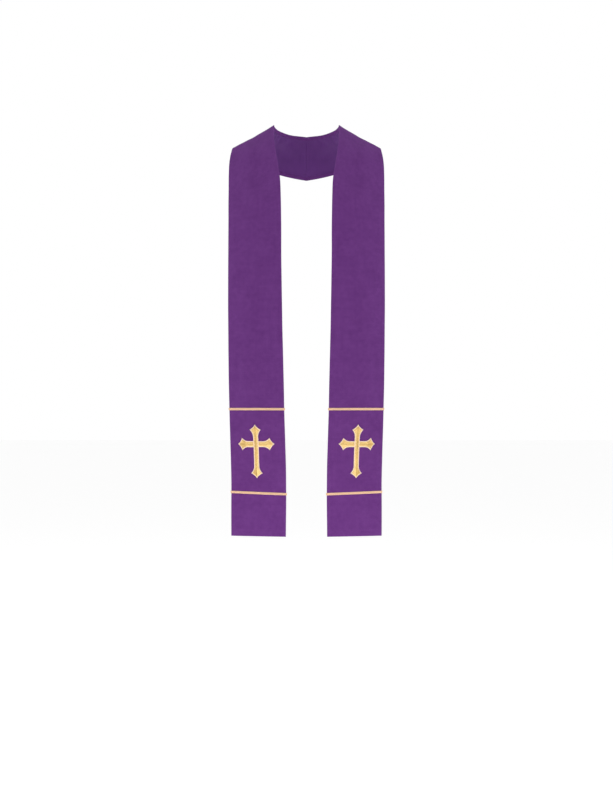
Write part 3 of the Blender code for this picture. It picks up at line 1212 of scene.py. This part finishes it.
@dataclass
class EmbroideredCross:
    """A satin-stitched cross: raised fill split down the middle inside a pale border."""

    surface: HalfSurface
    drop: float = 830.5             # centre of the cross below the side-neck point
    shift: float = 2.65             # outward from the middle of the cloth
    border: float = 2.5             # width of the satin border
    border_pitch: float = 0.44
    fill_pitch: float = 0.50
    thread: float = 0.46            # width of a thread
    base: float = 0.35              # height of the padding under the threads
    border_foot: float = 0.22       # height of the border's threads at its edges
    border_rise: float = 0.85
    fill_rise: float = 0.75
    padding_inset: float = 0.5      # between the outline and the padding
    padding_edge: float = 0.12      # its thickness at its edge
    padding_rows: int = 60
    padding_columns: int = 9
    over: float = 0.55              # lift of the upright where it crosses the bar
    slant: float = 0.72             # greatest lean of the fill stitches, radians
    slant_length: float = 18.0      # from the centre, over which they come to lean
    fill_limit: float = 17.0        # longest fill stitch
    unevenness: float = 0.04        # how much the stitches differ in height
    corner_room: float = 0.86       # share of a stitch's length that it stays off the outline
    tuck: float = 0.72              # share of the border at which the fill stops
    tip_clear: float = 1.6          # plain length at the tip of each arm
    sheen_change_from: float = 24.0        # from the tip, where the fill's painted sheen starts to change
    sheen_change_to: float = 12.0          # from the tip, where the painted sheen has changed

    def __post_init__(self) -> None:
        """Find where the cross lies on the cloth."""
        self.centre_run = self.surface.run_at(self.drop, 0.5)
        self.cloth_width = self.surface.width(self.centre_run)
        self.centre_share = 0.5 + self.shift / self.cloth_width

    @property
    def node(self) -> str:
        """The node that the cross stands for."""
        return f"cross_{self.surface.side.word}"

    def _laid(self, places: np.ndarray, height: np.ndarray) -> Tuple[np.ndarray, np.ndarray]:
        """Cross places on the cloth.

        Args:
            places: places (across, up) about the centre.
            height: heights off the cloth.

        Returns:
            Points and outward directions.
        """
        run = self.centre_run - places[..., 1]
        share = self.centre_share + places[..., 0] / self.cloth_width
        normal, _, _ = self.surface.directions(run, share)
        return self.surface.lifted(run, share, height), normal

    def outlines(self) -> List[np.ndarray]:
        """The closed outline of the upright and the open ones of the two side arms.

        Returns:
            Points (across, up) of each outline.
        """
        upright = np.concatenate((TOP.turned(TOP.outline()), FOOT.turned(FOOT.outline())))
        upright = np.concatenate((upright, upright[:1]))
        return [upright, OUTER.turned(OUTER.outline()), INNER.turned(INNER.outline())]

    def _crossing(self, places: np.ndarray) -> np.ndarray:
        """Extra height of the upright over the crossbar."""
        near = 1 - smooth_step(np.abs(places[..., 1]), CROSSBAR_HALF - 1, CROSSBAR_HALF + 3.5)
        return self.over * near

    def _stitched(self, starts: np.ndarray, ways: np.ndarray, lengths: np.ndarray,
                  heights: np.ndarray, tones: np.ndarray, upright: bool) -> Shape:
        """Straight satin stitches.

        Args:
            starts: places (across, up) where they start.
            ways: unit vectors along them.
            lengths: their lengths.
            heights: heights off the cloth at even steps along each.
            tones: a number from 0 to 1 for each.
            upright: whether they lie on the upright.

        Returns:
            The stitches.
        """
        t = np.linspace(0, 1, heights.shape[1])
        path = starts[:, None, :] + ways[:, None, :] * (t[None, :] * lengths[:, None])[..., None]
        if upright:
            heights = heights + self._crossing(path)
        points, normal = self._laid(path, heights)
        thread = Strands(self.thread / 2, self.thread / 2.2, sides=5)
        return thread.build(points, normal, tones)

    def _uneven(self, count: int, draw: np.random.Generator) -> np.ndarray:
        """A small difference in height for each of some stitches, as a column."""
        return draw.uniform(-self.unevenness, self.unevenness, (count, 1))

    def _border(self, outline: np.ndarray, upright: bool, draw: np.random.Generator) -> Shape:
        """Satin stitches square to one outline.

        Args:
            outline: the outline, which has its inside on the left.
            upright: whether it is the upright's.
            draw: source of small differences.

        Returns:
            The stitches.
        """
        places, inward = along_line(outline, self.border_pitch)
        depths = np.linspace(0.3, self.border, 8)
        probes = places[:, None, :] + inward[:, None, :] * depths[None, :, None]
        clear = distance_to(outline, probes) > depths[None, :] * self.corner_room
        reach = np.where(clear.all(1), self.border,
                         depths[np.clip(np.argmin(clear, axis=1) - 1, 0, None)])
        reach = reach * draw.uniform(0.93, 1.05, len(reach))
        arch = np.sin(math.pi * (np.linspace(0, 1, 6) * 0.86 + 0.04)) ** 0.7
        height = (self.border_foot + self.border_rise * arch[None, :]
                  * np.clip(reach[:, None] / 1.6, 0.5, 1) + self._uneven(len(reach), draw))
        tones = draw.uniform(0.25, 1.0, len(reach))
        return self._stitched(places, inward, reach, height, tones, upright)

    def _fill(self, arms: Sequence[Arm], outline: np.ndarray, upright: bool,
              draw: np.random.Generator) -> Shape:
        """Slanted stitches from the middle line out to the border.

        Args:
            arms: the arms along one bar.
            outline: outline of that bar.
            upright: whether it is the upright.
            draw: source of small differences.

        Returns:
            The stitches.
        """
        starts, ways, sheen_tones = [], [], []
        for arm in arms:
            # The tone of each side's stitches, and its change towards the tip, is painted sheen;
            # random streaks and differences are added to it below.
            for aside, tone in ((-1.0, arm.tones[1]), (1.0, arm.tones[0])):
                away = np.arange(arm.start + self.fill_pitch / 2, arm.reach - self.tip_clear,
                                 self.fill_pitch)
                lean = self.slant * np.tanh(away / self.slant_length)
                start = np.column_stack((np.full(len(away), 0.05 * aside), away))
                way = np.column_stack((aside * np.cos(lean), -np.sin(lean)))
                starts.append(arm.turned(start))
                ways.append(arm.turned(way))
                end = smooth_step(away, arm.reach - self.sheen_change_from, arm.reach - self.sheen_change_to)
                sheen_tones.append(tone + arm.tones[2] * end)
        start, way, shade = map(np.concatenate, (starts, ways, sheen_tones))
        depths = np.linspace(0.5, self.fill_limit, 34)
        probes = start[:, None, :] + way[:, None, :] * depths[None, :, None]
        room = distance_to(outline, probes) > self.border * self.tuck
        stop = np.where(room.all(1), len(depths), np.argmin(room, axis=1))
        keep = stop > 0
        start, way, shade = start[keep], way[keep], shade[keep]
        reach = depths[np.clip(stop[keep] - 1, 0, None)] + draw.uniform(0, 0.35, keep.sum())
        arch = np.sin(math.pi * (0.16 + 0.70 * np.linspace(0, 1, 7))) ** 0.8
        height = (self.base + self.fill_rise * arch[None, :]
                  * np.clip(reach[:, None] / 5, 0.55, 1) + self._uneven(len(reach), draw))
        streaks = np.repeat(draw.normal(0, 0.15, len(reach) // 4 + 1), 4)[:len(reach)]
        tones = np.clip(shade + streaks + draw.normal(0, 0.12, len(reach)), 0, 1)
        return self._stitched(start, way, reach, height, tones, upright)

    def _padding(self) -> Shape:
        """A thin raised ground under the stitches of each arm.

        Returns:
            The grounds of the four arms.
        """
        parts = []
        columns = np.linspace(-1, 1, self.padding_columns)
        for arm, lift in ((TOP, self.over), (FOOT, self.over), (OUTER, 0.0), (INNER, 0.0)):
            from_tip = np.linspace(1.0, arm.reach - arm.start, self.padding_rows)
            half = np.maximum(arm.half_width(from_tip) - self.padding_inset, 0.05)
            aside = half[:, None] * columns[None, :]
            away = np.broadcast_to((arm.reach - from_tip)[:, None], aside.shape)
            places = arm.turned(np.stack((aside, away), -1))
            top = self.padding_edge + (self.base + 0.1) * (1 - columns[None, :] ** 4)
            if lift:
                top = top + self._crossing(places)
            upper, _ = self._laid(places, np.broadcast_to(top, aside.shape))
            lower, _ = self._laid(places, np.full(aside.shape, 0.05))
            points = np.concatenate((upper.reshape(-1, 3), lower.reshape(-1, 3)))
            faces = closed_slab(*aside.shape, self.surface.side is Side.LEFT)
            numbers = {"along": np.zeros(len(points)), "tone": np.full(len(points), 0.3),
                       "lie": points}
            parts.append((points, faces, numbers))
        return joined(parts)

    def build(self, border_thread: bpy.types.Material, fill_thread: bpy.types.Material,
              ground: bpy.types.Material) -> List[bpy.types.Object]:
        """Embroider the cross.

        Args:
            border_thread: pale thread of the border.
            fill_thread: gold thread of the fill.
            ground: finish of the padding.

        Returns:
            The pieces.
        """
        draw = np.random.default_rng(5)
        upright, outer, inner = self.outlines()
        borders = [self._border(upright, True, draw), self._border(outer, False, draw),
                   self._border(inner, False, draw)]
        fills = [self._fill((TOP, FOOT), upright, True, draw),
                 self._fill((OUTER,), outer, False, draw),
                 self._fill((INNER,), inner, False, draw)]
        pieces = [
            make_piece(f"{self.node}_fill", *joined(fills), [fill_thread]),
            make_piece(f"{self.node}_border", *joined(borders), [border_thread]),
            make_piece(f"{self.node}_padding", *self._padding(), [ground]),
        ]
        for piece in pieces:
            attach(piece, BODY)
        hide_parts(self.node)
        return pieces


def closed_slab(rows: int, count: int, forward: bool) -> List[List[int]]:
    """Faces of a slab whose upper and lower points are two equal grids.

    Args:
        rows: rows of each grid.
        count: points in a row.
        forward: whether the upper grid's faces keep their order.

    Returns:
        The faces.
    """
    size = rows * count
    grid = np.arange(size).reshape(rows, count)
    quads = np.stack((grid[:-1, :-1], grid[:-1, 1:], grid[1:, 1:], grid[1:, :-1]), -1)
    quads = quads.reshape(-1, 4)
    rim = np.concatenate((grid[0, :], grid[1:, -1], grid[-1, -2::-1], grid[-2:0:-1, 0]))
    following = np.roll(rim, -1)
    walls = np.stack((following, rim, rim + size, following + size), -1)
    faces = np.concatenate((quads, quads[:, ::-1] + size, walls))
    return (faces if forward else faces[:, ::-1]).tolist()


# ---- Studio ----
@dataclass(frozen=True)
class SoftLight:
    """One large soft lamp, aimed at the stole."""

    name: str
    place: Tuple[float, float, float]
    size: Tuple[float, float]
    power: float


@dataclass(frozen=True)
class Studio:
    """White room with soft lamps, and the camera in front of the stole."""

    floor_height: float = -1.49
    floor_half: float = 30.0
    camera_back: float = 4.5        # in front of the hanging cloth
    cloth_plane: float = 115.0      # of the hanging cloth in front of the shoulder ridge
    camera_drop: float = 718.4      # below the side-neck points
    focal_heights: float = 2.2059   # focal length in frame heights
    sensor_height: float = 24.0
    aim: Tuple[float, float, float] = (0.0, -0.15, -0.5)
    room_white: float = 1.0         # of the room where it is seen
    room_fill: float = 0.58         # of the light that it throws on the stole
    lamps: Tuple[SoftLight, ...] = (
        SoftLight("lamp_left", (-2.6, -0.8, 0.35), (0.7, 2.2), 29.8),
        SoftLight("lamp_right", (2.6, -0.8, 0.35), (0.7, 2.2), 29.8),
        SoftLight("lamp_top", (0.0, -1.1, 2.1), (2.0, 0.8), 13.4),
        SoftLight("lamp_low", (0.0, -0.8, -1.45), (1.0, 0.15), 3.6),
        SoftLight("lamp_behind", (0.0, 2.6, 0.6), (2.2, 1.4), 20.0),
    )

    def build_floor(self, material: bpy.types.Material) -> None:
        """Lay the floor.

        Args:
            material: the floor's material.
        """
        half = self.floor_half
        corners = np.array(((-half, -half, self.floor_height), (half, -half, self.floor_height),
                            (half, half, self.floor_height), (-half, half, self.floor_height)))
        floor = make_piece("floor", corners / MM, [[0, 1, 2, 3]], {}, [material])

    def build_lights(self) -> None:
        """Set the room's white and the lamps."""
        scene = bpy.context.scene
        world = bpy.data.worlds.new("white_room")
        scene.world = world
        world.use_nodes = True
        graph = Graph(world.node_tree)
        seen = graph.node("ShaderNodeLightPath", {}, {}, "Is Camera Ray")
        strength = seen * (self.room_white - self.room_fill) + self.room_fill
        back = world.node_tree.nodes["Background"]
        back.inputs["Color"].default_value = (1.0, 1.0, 1.0, 1.0)
        graph.tree.links.new(strength.socket, back.inputs["Strength"])
        for lamp in self.lamps:
            data = bpy.data.lights.new(lamp.name, "AREA")
            data.shape = "RECTANGLE"
            data.size, data.size_y = lamp.size
            data.energy = lamp.power
            item = bpy.data.objects.new(lamp.name, data)
            scene.collection.objects.link(item)
            item.location = lamp.place
            away = np.array(lamp.place) - np.array(self.aim)
            flat = math.hypot(away[0], away[1])
            item.rotation_euler = (math.atan2(flat, away[2]), 0.0,
                                   math.atan2(away[0], -away[1]))

    def build_camera(self, surface: HalfSurface) -> None:
        """Put the camera level in front of the stole.

        Args:
            surface: a half, for the place of the shoulder ridge and the side-neck points.
        """
        data = bpy.data.cameras.new("camera")
        data.sensor_fit = "VERTICAL"
        data.sensor_height = self.sensor_height
        data.lens = self.focal_heights * self.sensor_height
        camera = bpy.data.objects.new("camera", data)
        bpy.context.scene.collection.objects.link(camera)
        ahead = (surface.neck_depth + self.cloth_plane) * MM
        camera.location = (0.0, -ahead - self.camera_back,
                           (surface.neck_rise - self.camera_drop) * MM)
        camera.rotation_euler = (math.pi / 2, 0.0, 0.0)
        bpy.context.scene.camera = camera
        bpy.context.scene.view_settings.view_transform = "Standard"


# ---- The whole stole ----
def cloth_area(piece: bpy.types.Object) -> float:
    """Square metres of one side of a closed sheet, taken as half its area."""
    return sum(face.area for face in piece.data.polygons) / 2


def main() -> None:
    """Build the stole and its studio, in order."""
    logging.basicConfig(level=logging.INFO, format="%(name)s: %(message)s")
    studio = Studio()
    studio.build_floor(FloorFinish().make())
    studio.build_lights()
    twill, lining = TwillFinish().make(), LiningFinish().make()
    sewing = SewingFinish().make()
    braid_thread, border_thread, fill_thread, ground = (gold.make() for gold in GOLDS)
    for side in Side:
        surface = HalfSurface(side)
        half = ClothHalf(surface)
        cloth = half.build(twill, lining)
        on_cloth = [half.build_stitches(sewing)]
        on_cloth.append(GoldBraid(surface, "upper", 741, 741).build(braid_thread))
        on_cloth.append(GoldBraid(surface, "lower", 956, 952).build(braid_thread))
        on_cloth += EmbroideredCross(surface).build(border_thread, fill_thread, ground)
        LOG.info("%s: %.4f square metres", cloth.name, cloth_area(cloth))
    studio.build_camera(surface)


if __name__ == "__main__":
    main()
